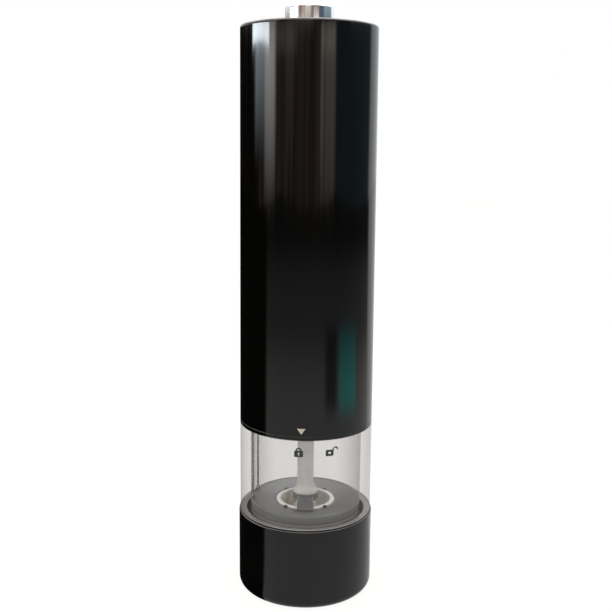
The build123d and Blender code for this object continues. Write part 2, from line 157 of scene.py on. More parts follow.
# ---------------------------------------------------------------- materials
class Shader:
    """Small builder for a node material around one Principled shader."""

    def __init__(self, name, **values):
        self.material = bpy.data.materials.new(name)
        self.material.use_nodes = True
        self.tree = self.material.node_tree
        self.surface = self.tree.nodes["Principled BSDF"]
        for socket, value in values.items():
            self.surface.inputs[socket.replace("_", " ")].default_value = value
        self.place = self.add("ShaderNodeTexCoord").outputs["Object"]
        self.normal = None

    def add(self, kind, **settings):
        node = self.tree.nodes.new(kind)
        for key, value in settings.items():
            setattr(node, key, value)
        return node

    def link(self, a, b):
        self.tree.links.new(a, b)

    def scaled(self, scale):
        mapping = self.add("ShaderNodeMapping")
        mapping.inputs["Scale"].default_value = scale
        self.link(self.place, mapping.inputs["Vector"])
        return mapping.outputs["Vector"]

    def noise(self, scale, detail=4.0, rough=0.5, stretch=(1, 1, 1)):
        node = self.add("ShaderNodeTexNoise")
        node.inputs["Scale"].default_value = scale
        node.inputs["Detail"].default_value = detail
        node.inputs["Roughness"].default_value = rough
        self.link(self.scaled(stretch), node.inputs["Vector"])
        return node.outputs["Fac"]

    def grains(self, scale, feature="F1"):
        node = self.add("ShaderNodeTexVoronoi", feature=feature)
        node.inputs["Scale"].default_value = scale
        self.link(self.place, node.inputs["Vector"])
        return node.outputs["Distance"]

    def ramp(self, value, stops):
        node = self.add("ShaderNodeValToRGB")
        node.color_ramp.elements[0].position = stops[0][0]
        node.color_ramp.elements[0].color = stops[0][1]
        node.color_ramp.elements[1].position = stops[-1][0]
        node.color_ramp.elements[1].color = stops[-1][1]
        for position, colour in stops[1:-1]:
            node.color_ramp.elements.new(position).color = colour
        self.link(value, node.inputs["Fac"])
        return node.outputs["Color"]

    def spread(self, value, low, high, start=0.3, end=0.7):
        node = self.add("ShaderNodeMapRange")
        node.inputs["From Min"].default_value = start
        node.inputs["From Max"].default_value = end
        node.inputs["To Min"].default_value = low
        node.inputs["To Max"].default_value = high
        self.link(value, node.inputs["Value"])
        return node.outputs["Result"]

    def colour(self, value, dark, light, start=0.3, end=0.7):
        shades = self.ramp(value, [(start, (*dark, 1)), (end, (*light, 1))])
        self.link(shades, self.surface.inputs["Base Color"])

    def roughness(self, value, low, high, start=0.3, end=0.7):
        self.link(self.spread(value, low, high, start, end), self.surface.inputs["Roughness"])

    def bump(self, value, depth, strength=1.0):
        node = self.add("ShaderNodeBump")
        node.inputs["Strength"].default_value = strength
        node.inputs["Distance"].default_value = depth
        self.link(value, node.inputs["Height"])
        if self.normal is not None:
            self.link(self.normal, node.inputs["Normal"])
        self.normal = node.outputs["Normal"]
        self.link(self.normal, self.surface.inputs["Normal"])


def moulded(name, dark, light, low, high, grain=900.0, depth=0.00002, **values):
    """Moulded plastic: faint colour drift, uneven gloss, fine grain."""
    s = Shader(name, **values)
    s.colour(s.noise(60, 3), dark, light)
    s.roughness(s.noise(240, 5, 0.6), low, high)
    s.bump(s.noise(grain, 4, 0.6), depth, 0.5)
    return s.material


def metal(name, dark, light, low, high, stretch=(1, 1, 1), grain=400.0, depth=0.00001, **values):
    """Bare metal: directional grain in the colour, gloss and relief."""
    s = Shader(name, Metallic=1.0, **values)
    s.colour(s.noise(120, 4, 0.6, stretch), dark, light)
    s.roughness(s.noise(grain, 5, 0.65, stretch), low, high)
    s.bump(s.noise(grain * 1.6, 4, 0.6, stretch), depth, 0.6)
    return s.material


def coated_steel():
    s = Shader("black_coated_steel", Specular_IOR_Level=0.5, IOR=1.5)
    s.colour(s.noise(90, 4, 0.55, (1, 1, 0.12)), (0.0003, 0.0003, 0.0002), (0.0011, 0.0009, 0.0007))
    s.roughness(s.noise(700, 5, 0.65, (1, 1, 0.02)), 0.05, 0.11)
    s.bump(s.noise(1500, 3, 0.6, (1, 1, 0.015)), 0.000004, 0.35)
    s.bump(s.noise(35, 2, 0.5), 0.00006, 0.12)
    return s.material


def black_gloss():
    s = Shader("black_gloss_plastic", Specular_IOR_Level=0.5, IOR=1.5)
    s.colour(s.noise(70, 4), (0.0004, 0.0004, 0.0003), (0.0012, 0.0011, 0.0009))
    s.roughness(s.noise(500, 5, 0.6), 0.07, 0.15)
    s.bump(s.noise(45, 3, 0.5), 0.00004, 0.15)
    s.bump(s.noise(1800, 3, 0.6), 0.000003, 0.4)
    return s.material


def clear_plastic(name, dark, light, low, high, alpha=1.0, transmission=1.0, ior=1.49):
    s = Shader(name, Transmission_Weight=transmission, IOR=ior, Alpha=alpha)
    s.colour(s.noise(55, 3), dark, light)
    s.roughness(s.noise(160, 4, 0.6), low, high)
    s.bump(s.noise(40, 2, 0.5), 0.00003, 0.15)
    return s.material


def hopper_acrylic(foot):
    """Faintly tinted clear wall, thicker looking seen edge on. At the rim that stands on the base, a paler, nearly
    opaque band is a painted highlight.
    """
    s = Shader("clear_acrylic", Specular_IOR_Level=0.6, IOR=1.49)
    tint = s.ramp(s.noise(55, 3), [(0.3, (0.085, 0.060, 0.050, 1)), (0.7, (0.115, 0.082, 0.070, 1))])
    parts = s.add("ShaderNodeSeparateXYZ")
    s.link(s.place, parts.inputs["Vector"])
    height = s.spread(parts.outputs["Z"], 0.0, 1.0, foot, foot + 1.6 * MM)
    # painted highlight: a paler grey colour in a thin band at the foot of the wall, standing in for the bright rim
    # line
    rim_highlight_band = s.add("ShaderNodeMix", data_type="RGBA")
    s.link(s.ramp(height, [(0.34, (1, 1, 1, 1)), (0.42, (0, 0, 0, 1))]), rim_highlight_band.inputs[0])
    s.link(tint, rim_highlight_band.inputs[6])
    rim_highlight_band.inputs[7].default_value = (0.26, 0.255, 0.25, 1)
    s.link(rim_highlight_band.outputs[2], s.surface.inputs["Base Color"])
    edge = s.add("ShaderNodeLayerWeight")
    edge.inputs["Blend"].default_value = 0.25
    cover = s.spread(edge.outputs["Facing"], 0.12, 0.46, 0.1, 0.75)
    # the painted rim highlight is also made nearly opaque at the foot
    rim_highlight_cover = s.ramp(height, [
        (0.34, (0.86, 0.86, 0.86, 1)), (0.44, (0.5, 0.5, 0.5, 1)), (0.75, (0, 0, 0, 1))])
    most = s.add("ShaderNodeMath", operation="MAXIMUM")
    s.link(cover, most.inputs[0])
    s.link(rim_highlight_cover, most.inputs[1])
    s.link(most.outputs["Value"], s.surface.inputs["Alpha"])
    s.roughness(s.noise(160, 4, 0.6), 0.02, 0.06)
    s.bump(s.noise(40, 2, 0.5), 0.00003, 0.15)
    return s.material


def floor_plastic():
    s = Shader("grey_gloss_plastic", Specular_IOR_Level=0.5, IOR=1.5)
    s.colour(s.noise(80, 4), (0.140, 0.150, 0.152), (0.164, 0.175, 0.177))
    s.roughness(s.noise(420, 5, 0.6), 0.12, 0.22)
    s.bump(s.noise(55, 3), 0.00004, 0.15)
    return s.material


def ceramic(name, dark, light):
    s = Shader(name, Subsurface_Weight=0.12, Subsurface_Scale=0.0008, IOR=1.55)
    s.surface.inputs["Subsurface Radius"].default_value = (1.0, 0.8, 0.6)
    speck = s.grains(2600)
    s.colour(s.noise(600, 6, 0.7), dark, light)
    s.roughness(s.noise(900, 4, 0.6), 0.38, 0.62)
    s.bump(speck, 0.00002, 0.35)
    s.bump(s.noise(350, 4, 0.6), 0.00003, 0.4)
    return s.material


def chrome():
    s = Shader("bright_chrome", Metallic=1.0)
    s.colour(s.noise(200, 4, 0.6, (1, 1, 0.1)), (0.66, 0.67, 0.68), (0.80, 0.80, 0.80))
    s.roughness(s.noise(600, 5, 0.6, (1, 1, 0.05)), 0.055, 0.11)
    s.bump(s.noise(60, 3, 0.5), 0.00003, 0.1)
    return s.material


def ink(name, dark, light):
    s = Shader(name, Specular_IOR_Level=0.4)
    s.colour(s.noise(1500, 5, 0.7), dark, light)
    s.roughness(s.noise(1200, 4), 0.35, 0.6)
    s.bump(s.noise(2200, 4, 0.6), 0.000006, 0.5)
    return s.material


def winding(name, dark, light):
    """Silicone or wire cover with a soft sheen."""
    s = Shader(name, Sheen_Weight=0.15)
    s.colour(s.noise(300, 4), dark, light)
    s.roughness(s.noise(700, 4), 0.4, 0.62)
    s.bump(s.noise(1500, 3), 0.00001, 0.4)
    return s.material


SLEEVE = coated_steel()
BLACK = black_gloss()
HOPPER = hopper_acrylic(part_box("base_shell")[1].z + 0.2 * MM)
TUBE = moulded("frosted_tube", (0.62, 0.60, 0.58), (0.80, 0.78, 0.75), 0.22, 0.34, 400, 0.00002, Alpha=0.82)
LENS = clear_plastic("lamp_lens", (0.93, 0.93, 0.92), (0.98, 0.98, 0.97), 0.10, 0.2)
FLOOR_GREY = floor_plastic()
BURR_WHITE = ceramic("burr_ceramic_white", (0.80, 0.78, 0.74), (0.92, 0.90, 0.86))
BURR_CREAM = ceramic("burr_ceramic_cream", (0.66, 0.63, 0.57), (0.84, 0.80, 0.74))
CHROME = chrome()
MATT = moulded("matt_black_plastic", (0.010, 0.010, 0.010), (0.022, 0.021, 0.020), 0.42, 0.62, 1100, 0.00003)
SOFT_BLACK = moulded(
    "satin_black_plastic", (0.008, 0.008, 0.008), (0.016, 0.016, 0.016), 0.28, 0.42, 1300, 0.00002)
ACETAL = moulded(
    "natural_acetal", (0.66, 0.64, 0.58), (0.80, 0.78, 0.73), 0.32, 0.48, 900, 0.00001, Subsurface_Weight=0.08)
NYLON = moulded("filled_nylon", (0.045, 0.045, 0.047), (0.075, 0.075, 0.078), 0.42, 0.6, 1600, 0.00002)
CAP_WHITE = moulded("end_cap_plastic", (0.58, 0.57, 0.54), (0.70, 0.69, 0.66), 0.4, 0.55)
BOARD = moulded("board_laminate", (0.010, 0.070, 0.030), (0.020, 0.110, 0.045), 0.25, 0.42, 2200, 0.00001)
RED = moulded("red_plastic", (0.30, 0.020, 0.014), (0.44, 0.035, 0.022), 0.35, 0.5)
SILICONE = winding("grey_silicone", (0.30, 0.30, 0.30), (0.40, 0.40, 0.39))
WIRE_BLACK = winding("black_wire_cover", (0.010, 0.010, 0.010), (0.022, 0.022, 0.022))
WIRE_RED = winding("red_wire_cover", (0.28, 0.015, 0.012), (0.40, 0.028, 0.020))
STEEL = metal("turned_steel", (0.46, 0.46, 0.47), (0.62, 0.62, 0.63), 0.18, 0.34, (1, 1, 8))
CAN = metal("plated_can", (0.42, 0.43, 0.44), (0.56, 0.56, 0.55), 0.25, 0.42, (1, 1, 0.2))
SPRING = metal("spring_wire", (0.36, 0.36, 0.37), (0.52, 0.52, 0.53), 0.2, 0.36)
DARK_STEEL = metal("blackened_spring_steel", (0.10, 0.10, 0.105), (0.18, 0.18, 0.185), 0.3, 0.45)
BRASS = metal("turned_brass", (0.50, 0.35, 0.14), (0.66, 0.49, 0.22), 0.2, 0.36, (1, 1, 7))
BRONZE = metal(
    "sintered_bronze", (0.32, 0.21, 0.11), (0.46, 0.31, 0.17), 0.38, 0.55, (1, 1, 1), 1500, 0.00003)
COPPER = metal("commutator_copper", (0.48, 0.24, 0.14), (0.62, 0.34, 0.20), 0.2, 0.34, (1, 1, 6))
FERRITE = moulded("ferrite", (0.020, 0.020, 0.021), (0.040, 0.040, 0.042), 0.5, 0.7, 1800, 0.00004)
WRAP = moulded("cell_wrap", (0.012, 0.016, 0.024), (0.022, 0.028, 0.040), 0.22, 0.36, 500, 0.00001)
INK_DARK = ink("dark_ink", (0.012, 0.012, 0.013), (0.030, 0.030, 0.032))
INK_CREAM = ink("cream_ink", (0.30, 0.27, 0.215), (0.42, 0.38, 0.31))

FINISH = {
    "outer_sleeve": SLEEVE, "lower_collar": BLACK, "top_cap": SOFT_BLACK, "push_button": CHROME,
    "base_shell": BLACK, "hopper": HOPPER, "hopper_floor": FLOOR_GREY, "feed_bridge": FLOOR_GREY,
    "shaft_tube": TUBE, "outer_burr": BURR_WHITE, "inner_burr": BURR_CREAM, "grinder_cage": MATT,
    "adjuster_spider": MATT, "adjuster_knob": SOFT_BLACK, "adjuster_screw": BRASS, "thrust_ball": CHROME,
    "drive_shaft": STEEL, "burr_clip": DARK_STEEL, "burr_spring": SPRING, "shaft_bush": BRONZE,
    "lamp_lead_rods": STEEL, "lamp_lens": LENS, "lamp": LENS, "lamp_wires": WIRE_BLACK,
    "padlock_marks": INK_DARK, "pointer_mark": INK_CREAM, "seal_ring": SILICONE, "chassis_plate": MATT,
    "gearbox_screws": STEEL, "lamp_contact_pins": BRASS, "side_frames": MATT, "ring_gear_housing": ACETAL,
    "output_carrier": NYLON, "first_carrier": NYLON, "motor_can": CAN, "motor_magnets": FERRITE,
    "motor_end_cap": CAP_WHITE, "motor_bushes": BRONZE, "brushes_and_terminals": BRASS, "rotor": STEEL,
    "commutator": COPPER, "motor_pinion": BRASS, "battery_holder": MATT, "cell_contacts": SPRING,
    "switch_board": BOARD, "switch_body": SOFT_BLACK, "switch_plunger": RED, "button_spring": SPRING,
    "power_wires": WIRE_RED, "lamp_supply_wires": WIRE_BLACK,
}
for name, obj in nodes.items():
    finish = FINISH.get(name)
    if finish is None:
        finish = ACETAL if "planet" in name else WRAP
    obj.data.materials.clear()
    obj.data.materials.append(finish)
    for polygon in obj.data.polygons:
        polygon.material_index = 0


# ---------------------------------------------------------------- sleeve, collar, cap, button
lo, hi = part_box("outer_sleeve")
R, z0, z1 = hi.x, lo.z, hi.z
rim = R - 0.4 * MM
inside = R - 1.0 * MM
sleeve = lathe("sleeve_shell", [
    (inside, z0), (R, z0, 0.12 * MM), (rim, z1, 0.9 * MM), (rim - 1.9 * MM, z1, 0.5 * MM),
    (rim - 1.9 * MM, z1 - 0.9 * MM), (inside, z1 - 0.9 * MM)], 256, 8)
stand_for(sleeve, "motor_unit", SLEEVE, "outer_sleeve")

lo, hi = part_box("lower_collar")
seam = z0 - 0.1 * MM
bore = inside - 0.35 * MM
ledge_r = bore - 0.9 * MM
ledge_z = lo.z + 5.4 * MM
collar = lathe("collar_rim", [
    (bore, lo.z), (R, lo.z, 0.35 * MM), (R, seam, 0.25 * MM), (inside, seam), (inside, hi.z),
    (ledge_r, hi.z), (ledge_r, ledge_z), (bore, ledge_z)], 256)
stand_for(collar, "motor_unit", SLEEVE, "lower_collar")

lo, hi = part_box("push_button")
shaft_r = 9.0 * MM
stem_r, stem_low, pocket_top = 2.2 * MM, lo.z + 0.4 * MM, lo.z + 4.5 * MM
skirt_r, flange_top = 7.6 * MM, lo.z + 1.6 * MM
button = lathe("button_cap", [
    (0, stem_low), (stem_r, stem_low), (stem_r, pocket_top), (skirt_r, pocket_top), (skirt_r, lo.z),
    (hi.x, lo.z, 0.15 * MM), (hi.x, flange_top, 0.15 * MM), (shaft_r, flange_top),
    (shaft_r, hi.z - 0.05 * MM, 0.7 * MM), (5.0 * MM, hi.z - 0.02 * MM), (0, hi.z)], 160, 8, sharp=50)
stand_for(button, "button", CHROME, "push_button")

lo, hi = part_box("top_cap")
cap_low, dish = hi.z - 5.0 * MM, hi.z - 0.9 * MM
well_in, well_out, guide_r = 10.4 * MM, 11.8 * MM, shaft_r + 0.1 * MM
cap = lathe("top_cap_plate", [
    (well_in, lo.z), (well_out, lo.z), (well_out, cap_low), (inside, cap_low), (inside, hi.z, 0.2 * MM),
    (rim - 2.4 * MM, hi.z - 0.2 * MM, 0.3 * MM), (rim - 4.0 * MM, dish, 0.6 * MM),
    (shaft_r + 2.2 * MM, dish, 0.5 * MM), (shaft_r + 1.4 * MM, hi.z - 0.1 * MM, 0.3 * MM),
    (guide_r, hi.z - 0.1 * MM, 0.3 * MM), (guide_r, cap_low), (well_in, cap_low)], 192)
stand_for(cap, "motor_unit", SOFT_BLACK, "top_cap")

# ---------------------------------------------------------------- hopper and what stands in it
lo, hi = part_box("hopper")
H = hi.y
shell_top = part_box("base_shell")[1].z + 0.2 * MM
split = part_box("lower_collar")[0].z - 0.2 * MM
neck = 23.4 * MM
hole = 21.8 * MM
hopper = lathe("hopper_wall", [
    (hole, lo.z), (neck, lo.z), (neck, shell_top), (H, shell_top, 0.5 * MM), (H, split, 0.4 * MM),
    (neck, split), (neck, hi.z, 0.3 * MM), (hole, hi.z, 0.3 * MM)], 256, 6)
stand_for(hopper, "base", HOPPER, "hopper")


def wedge_mesh(name, r0, r1, z_low, z_high, middle, half=12):
    """A block between two radii and two heights, reaching half degrees each side of its middle angle."""
    arc = [math.radians(middle - half + 2 * half * k / 12) for k in range(13)]
    outline = [(r1 * math.cos(a), r1 * math.sin(a)) for a in arc]
    outline += [(r0 * math.cos(a), r0 * math.sin(a)) for a in reversed(arc)]
    return prism(name, outline, z_low, z_high, 0.12 * MM)


split_z = split + 0.2 * MM
for k, angle in enumerate((90, 210, 330)):
    ledge = wedge_mesh(
        f"collar_ledge_{k + 1}", neck + 0.1 * MM, neck + 1.3 * MM, split_z, split_z + 2.6 * MM, angle)
    stand_for(ledge, "motor_unit", SLEEVE)
    lug = wedge_mesh(
        f"bayonet_lug_{k + 1}", neck + 0.01 * MM, neck + 1.0 * MM, hi.z - 5.0 * MM, hi.z - 3.0 * MM, angle)
    stand_for(lug, "base", HOPPER)

lo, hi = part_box("shaft_tube")
tube_in, tube_out = 2.75 * MM, 3.25 * MM
tube = lathe("shaft_tube_wall", [
    (tube_in, lo.z), (hi.x, lo.z, 0.15 * MM), (hi.x, lo.z + 0.8 * MM, 0.4 * MM),
    (3.9 * MM, lo.z + 1.9 * MM, 1.2 * MM), (tube_out, lo.z + 3.6 * MM, 1.5 * MM),
    (tube_out, hi.z, 0.2 * MM), (tube_in, hi.z)], 128, 6)
stand_for(tube, "base", TUBE, "shaft_tube")

lo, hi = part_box("hopper_floor")
top = hi.z - 0.9 * MM
burr_r = 11.5 * MM
floor_ring = lathe("hopper_floor_plate", [
    (burr_r, lo.z), (hi.x, lo.z), (hi.x, hi.z, 0.15 * MM), (hi.x - 0.5 * MM, hi.z, 0.2 * MM),
    (hi.x - 1.0 * MM, hi.z - 0.25 * MM, 0.6 * MM), (burr_r + 1.3 * MM, top, 1.0 * MM),
    (burr_r, top, 0.3 * MM)], 224, 6)
stand_for(floor_ring, "base", FLOOR_GREY, "hopper_floor")

lo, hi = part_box("feed_bridge")
arm_half = 3.2 * MM
length = hi.y
arm_base = lo.z
underside = arm_base + 0.45 * MM
side = [
    (-length, arm_base + 0.05 * MM), (-length, arm_base + 1.1 * MM), (-5.2 * MM, arm_base + 2.5 * MM),
    (5.2 * MM, arm_base + 2.5 * MM), (length, arm_base + 1.1 * MM), (length, arm_base + 0.05 * MM),
    (length - 1.6 * MM, underside), (-length + 1.6 * MM, underside)]
arm = prism("feed_bridge_arm", side, -arm_half, arm_half, 0.3 * MM)
arm.data.transform(Matrix(((0, 0, 1, 0), (1, 0, 0, 0), (0, 1, 0, 0), (0, 0, 0, 1))))  # side view to upright
stand_for(arm, "base", FLOOR_GREY, "feed_bridge")
hub_in, hub_out = 2.9 * MM, 5.0 * MM
hub = lathe("feed_bridge_hub", [
    (hub_in, underside), (hub_out, underside), (hub_out, hi.z, 0.4 * MM), (hub_in, hi.z)], 96)
stand_for(hub, "base", FLOOR_GREY)


# ---------------------------------------------------------------- burrs
def burr_rows(name, rows, segments, material, body, cad_node, sharp=28.0):
    """A closed ring from rows of (radius function, z); each function takes an angle."""
    verts, faces = [], []
    for k in range(segments):
        a = 2 * math.pi * k / segments
        for radius, z in rows:
            r = radius(a, z)
            verts.append((r * math.cos(a), r * math.sin(a), z))
    count = len(rows)
    for k in range(segments):
        n = (k + 1) % segments
        for i in range(count):
            j = (i + 1) % count
            faces.append((k * count + i, n * count + i, n * count + j, k * count + j))
    obj = add_mesh(name, verts, faces, sharp)
    return stand_for(obj, body, material, cad_node)


def flute(a, z, count, twist, depth, power):
    """Depth of a scalloped groove at an angle; the grooves lean by twist radians per metre."""
    wave = 0.5 + 0.5 * math.cos(count * (a + twist * z))
    return depth * wave ** power


lo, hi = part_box("outer_burr")
top_z, low_z = hi.z, lo.z
waist = low_z + 7.0 * MM


def bore_at(a, z):
    """The outer burr's bore: twelve deep flutes above its waist, fine teeth below."""
    if z > waist:
        t = (z - waist) / (top_z - waist)
        return (8.2 + 1.5 * t) * MM + flute(a, z, 12, 26.0, 0.95 * MM, 1.6) * min(1.0, 0.35 + t)
    t = (waist - z) / (waist - low_z)
    return (8.2 + 1.05 * t) * MM + flute(a, z, 36, -60.0, 0.35 * MM, 1.2)


edge_round = 0.45 * MM
outer_rows = [(lambda a, z: burr_r, low_z), (lambda a, z: burr_r, top_z - edge_round)]
for k in range(1, 6):
    b = math.radians(90 * k / 5)
    shift = edge_round * (1 - math.cos(b))
    outer_rows.append((lambda a, z, s=shift: burr_r - s, top_z - edge_round * (1 - math.sin(b))))
lip = 10.05 * MM
outer_rows.append((lambda a, z: lip, top_z))
outer_rows.append((lambda a, z: lip - 0.22 * MM, top_z - 0.12 * MM))
bore_top = top_z - 0.5 * MM
for k in range(25):
    outer_rows.append((bore_at, bore_top - (bore_top - low_z) * k / 24))
burr_rows("outer_burr_ring", outer_rows, 288, BURR_WHITE, "base", "outer_burr")

lo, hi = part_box("inner_burr")
b_low, b_top = lo.z, hi.z
mid = b_low + 8.5 * MM


def cone_at(a, z):
    """The turning burr: six scoops that draw the corns in, fine teeth under them, a plain foot."""
    if z > mid:
        t = (z - mid) / (b_top - mid)
        return (7.7 - 3.3 * t) * MM - flute(a, z, 6, 70.0, 1.9 * MM, 1.3) * (1 - 0.35 * t)
    if z > b_low + 1.5 * MM:
        t = (mid - z) / (mid - b_low - 1.5 * MM)
        return (7.7 + 1.2 * t) * MM - flute(a, z, 30, 80.0, 0.4 * MM, 1.1)
    return 8.35 * MM


core = 2.0 * MM
cone_rows = [(lambda a, z: core, b_low), (lambda a, z: 8.3 * MM, b_low)]
cone_rows += [(cone_at, b_low + 0.2 * MM + (b_top - b_low - 0.3 * MM) * k / 40) for k in range(41)]
cone_rows += [(lambda a, z: 3.2 * MM, b_top), (lambda a, z: core, b_top)]
burr_rows("inner_burr_cone", cone_rows, 240, BURR_CREAM, "shaft", "inner_burr")

# ---------------------------------------------------------------- base shell and knob
lo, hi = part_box("base_shell")
B = hi.x
rim_in = 18.6 * MM
web = 1.4 * MM
socket_r, deck, throat = neck + 0.1 * MM, lo.z + 3.6 * MM, 13.4 * MM
shell = lathe("base_shell_body", [
    (B, lo.z, 3.2 * MM), (B, hi.z, 0.5 * MM), (socket_r, hi.z), (socket_r, deck), (throat, deck),
    (throat, lo.z + web, 0.3 * MM), (rim_in, lo.z + web, 0.3 * MM), (rim_in, lo.z, 0.3 * MM)], 256, 14)
stand_for(shell, "base", BLACK, "base_shell")

lo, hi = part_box("adjuster_knob")
knob_r = hi.x


def grip(a, r, z):
    """Twenty finger grooves round the lower part of the knob."""
    if r < knob_r - 0.3 * MM or z > lo.z + 5.3 * MM:
        return 0.0
    return -0.45 * MM * (0.5 + 0.5 * math.cos(20 * a)) ** 2.2


knob_bore, knob_top, neck_top = 2.55 * MM, lo.z + 6.0 * MM, lo.z + 8.2 * MM
knob = lathe("grind_knob", [
    (knob_bore, lo.z), (knob_r - 1.0 * MM, lo.z, 0.2 * MM), (knob_r, lo.z + 0.9 * MM, 0.3 * MM),
    (knob_r, lo.z + 5.1 * MM), (knob_r, lo.z + 5.6 * MM), (knob_r, knob_top, 0.2 * MM),
    (4.2 * MM, knob_top), (4.2 * MM, neck_top), (4.9 * MM, neck_top), (4.9 * MM, hi.z, 0.3 * MM),
    (knob_bore, hi.z)], 240, 5, wobble=grip)
stand_for(knob, "knob", SOFT_BLACK, "adjuster_knob")


# ---------------------------------------------------------------- floor, light, camera
# The camera sees a plain white floor and background. Mirrored in gloss, both are darker and patterned: soft
# strips and patches that stand in for the room that the photographed mill reflects. They have no objects.
COOL_WHITE, GREY, WARM = (0.80, 0.92, 1.0), (0.98, 0.96, 0.95), (1.0, 0.95, 0.84)


def emitter(name, size, place, target, strength, colour):
    """An area light of a given radiance facing a point, not seen by the camera itself."""
    lamp = bpy.data.lights.new(name, "AREA")
    lamp.shape = "RECTANGLE"
    lamp.size, lamp.size_y = size
    lamp.energy = strength * math.pi * size[0] * size[1]
    lamp.color = colour
    obj = bpy.data.objects.new(name, lamp)
    obj.location = place
    aim = Vector(target) - Vector(place)
    obj.rotation_mode = "QUATERNION"
    obj.rotation_quaternion = aim.to_track_quat("-Z", "Y")
    obj.visible_camera = False
    bpy.context.scene.collection.objects.link(obj)
    return obj


def around_axis(azimuth, distance, height):
    """A point at an azimuth counted from -Y towards +X."""
    a = math.radians(azimuth)
    return (distance * math.sin(a), -distance * math.cos(a), height)


def value_of(tree, kind, a, b=None):
    """One math node; each argument is a socket or a number."""
    node = tree.nodes.new("ShaderNodeMath")
    node.operation = kind
    for socket, value in zip(node.inputs, (a, b)):
        if isinstance(value, bpy.types.NodeSocket):
            tree.links.new(value, socket)
        elif value is not None:
            socket.default_value = value
    return node.outputs["Value"]


def product(tree, first, *others):
    for other in others:
        first = value_of(tree, "MULTIPLY", first, other)
    return first


def apart(tree, angle, middle):
    """How many degrees an angle lies to either side of a middle one."""
    return value_of(tree, "ABSOLUTE", value_of(tree, "SUBTRACT", angle, middle))


def step(tree, value, start, end, low=0.0, high=1.0):
    """A smooth rise from low to high between two values."""
    node = tree.nodes.new("ShaderNodeMapRange")
    node.interpolation_type = "SMOOTHSTEP"
    tree.links.new(value, node.inputs["Value"])
    node.inputs["From Min"].default_value = start
    node.inputs["From Max"].default_value = end
    node.inputs["To Min"].default_value = low
    node.inputs["To Max"].default_value = high
    return node.outputs["Result"]


def mixed(tree, factor, a, b):
    """A colour between a and b; each is a socket or a colour."""
    node = tree.nodes.new("ShaderNodeMix")
    node.data_type = "RGBA"
    tree.links.new(factor, node.inputs[0])
    for socket, value in ((node.inputs[6], a), (node.inputs[7], b)):
        if isinstance(value, bpy.types.NodeSocket):
            tree.links.new(value, socket)
        else:
            socket.default_value = (*value, 1)
    return node.outputs[2]


def scaled_colour(tree, colour, factor):
    node = tree.nodes.new("ShaderNodeVectorMath")
    node.operation = "SCALE"
    if isinstance(colour, bpy.types.NodeSocket):
        tree.links.new(colour, node.inputs[0])
    else:
        node.inputs[0].default_value = colour
    tree.links.new(factor, node.inputs["Scale"])
    return node.outputs["Vector"]


def angle_and_parts(tree, vector):
    """The angle about Z, counted from -Y towards +X in degrees, and the x, y, z of a vector."""
    parts = tree.nodes.new("ShaderNodeSeparateXYZ")
    tree.links.new(vector, parts.inputs["Vector"])
    x, y, z = parts.outputs["X"], parts.outputs["Y"], parts.outputs["Z"]
    turn = value_of(tree, "ARCTAN2", x, value_of(tree, "MULTIPLY", y, -1.0))
    return value_of(tree, "DEGREES", turn), x, y, z


def mirrored_floor(tree, place):
    """Radiance of the floor as gloss mirrors it, and how much of it is teal."""
    turn, x, y, _ = angle_and_parts(tree, place)
    left_turn = value_of(tree, "DEGREES", value_of(
        tree, "ARCTAN2", value_of(tree, "ADD", x, 15 * MM), value_of(tree, "SUBTRACT", -20 * MM, y)))
    away = value_of(tree, "SQRT", value_of(tree, "ADD", product(tree, x, x), product(tree, y, y)))
    near = step(tree, away, 0.26, 0.62, 0.60, 0.22)
    far = step(tree, away, 0.6, 1.6, 1.0, 0.2)
    shade = step(tree, apart(tree, left_turn, -122.0), 46.0, 54.0, 0.01, 1.0)
    behind = step(tree, apart(tree, turn, 152.0), 24.0, 34.0, 0.8, 0.0)
    plain = value_of(tree, "MAXIMUM", behind, product(tree, near, far, shade))
    # a teal patch and a dark gap beside it, both between 0.3 and 0.6 m from the mill
    reach = product(tree, step(tree, away, 0.25, 0.33), step(tree, away, 0.50, 0.64, 1.0, 0.0))
    teal = product(tree, reach, step(tree, apart(tree, turn, 72.0), 12.0, 22.0, 1.0, 0.0))
    gap = product(tree, reach, step(tree, apart(tree, turn, 41.0), 4.0, 16.0, 0.7, 0.0))
    return product(tree, plain, value_of(tree, "SUBTRACT", 1.0, gap)), teal


def studio_floor():
    """Pale paper, lit evenly to the camera; seen from below it is clear."""
    ground = prism("studio_floor", [(-2.5, -2.5), (2.5, -2.5), (2.5, 4.5), (-2.5, 4.5)], -0.004, -0.00002)
    paper = Shader("pale_paper", Specular_IOR_Level=0.0)
    paper.colour(paper.noise(3, 2), (0.050, 0.050, 0.0495), (0.060, 0.060, 0.0595))
    paper.roughness(paper.noise(30, 3), 0.7, 0.85)
    tree, inputs = paper.tree, paper.surface.inputs
    radiance, teal = mirrored_floor(tree, paper.place)
    glossy = paper.add("ShaderNodeLightPath").outputs["Is Glossy Ray"]
    strength = paper.add("ShaderNodeMix")
    paper.link(glossy, strength.inputs[0])
    strength.inputs[2].default_value = 0.93
    paper.link(radiance, strength.inputs[3])
    paper.link(strength.outputs[0], inputs["Emission Strength"])
    tint = mixed(tree, product(tree, teal, glossy), (1, 1, 0.985), (0.5, 2.3, 2.15))
    paper.link(tint, inputs["Emission Color"])
    drift = inputs["Base Color"].links[0].from_socket
    paper.link(mixed(tree, glossy, drift, (0, 0, 0)), inputs["Base Color"])
    upright = paper.add("ShaderNodeSeparateXYZ")
    paper.link(paper.add("ShaderNodeNewGeometry").outputs["Normal"], upright.inputs["Vector"])
    paper.link(value_of(tree, "GREATER_THAN", upright.outputs["Z"], 0.0), inputs["Alpha"])
    ground.data.materials.append(paper.material)
    return ground


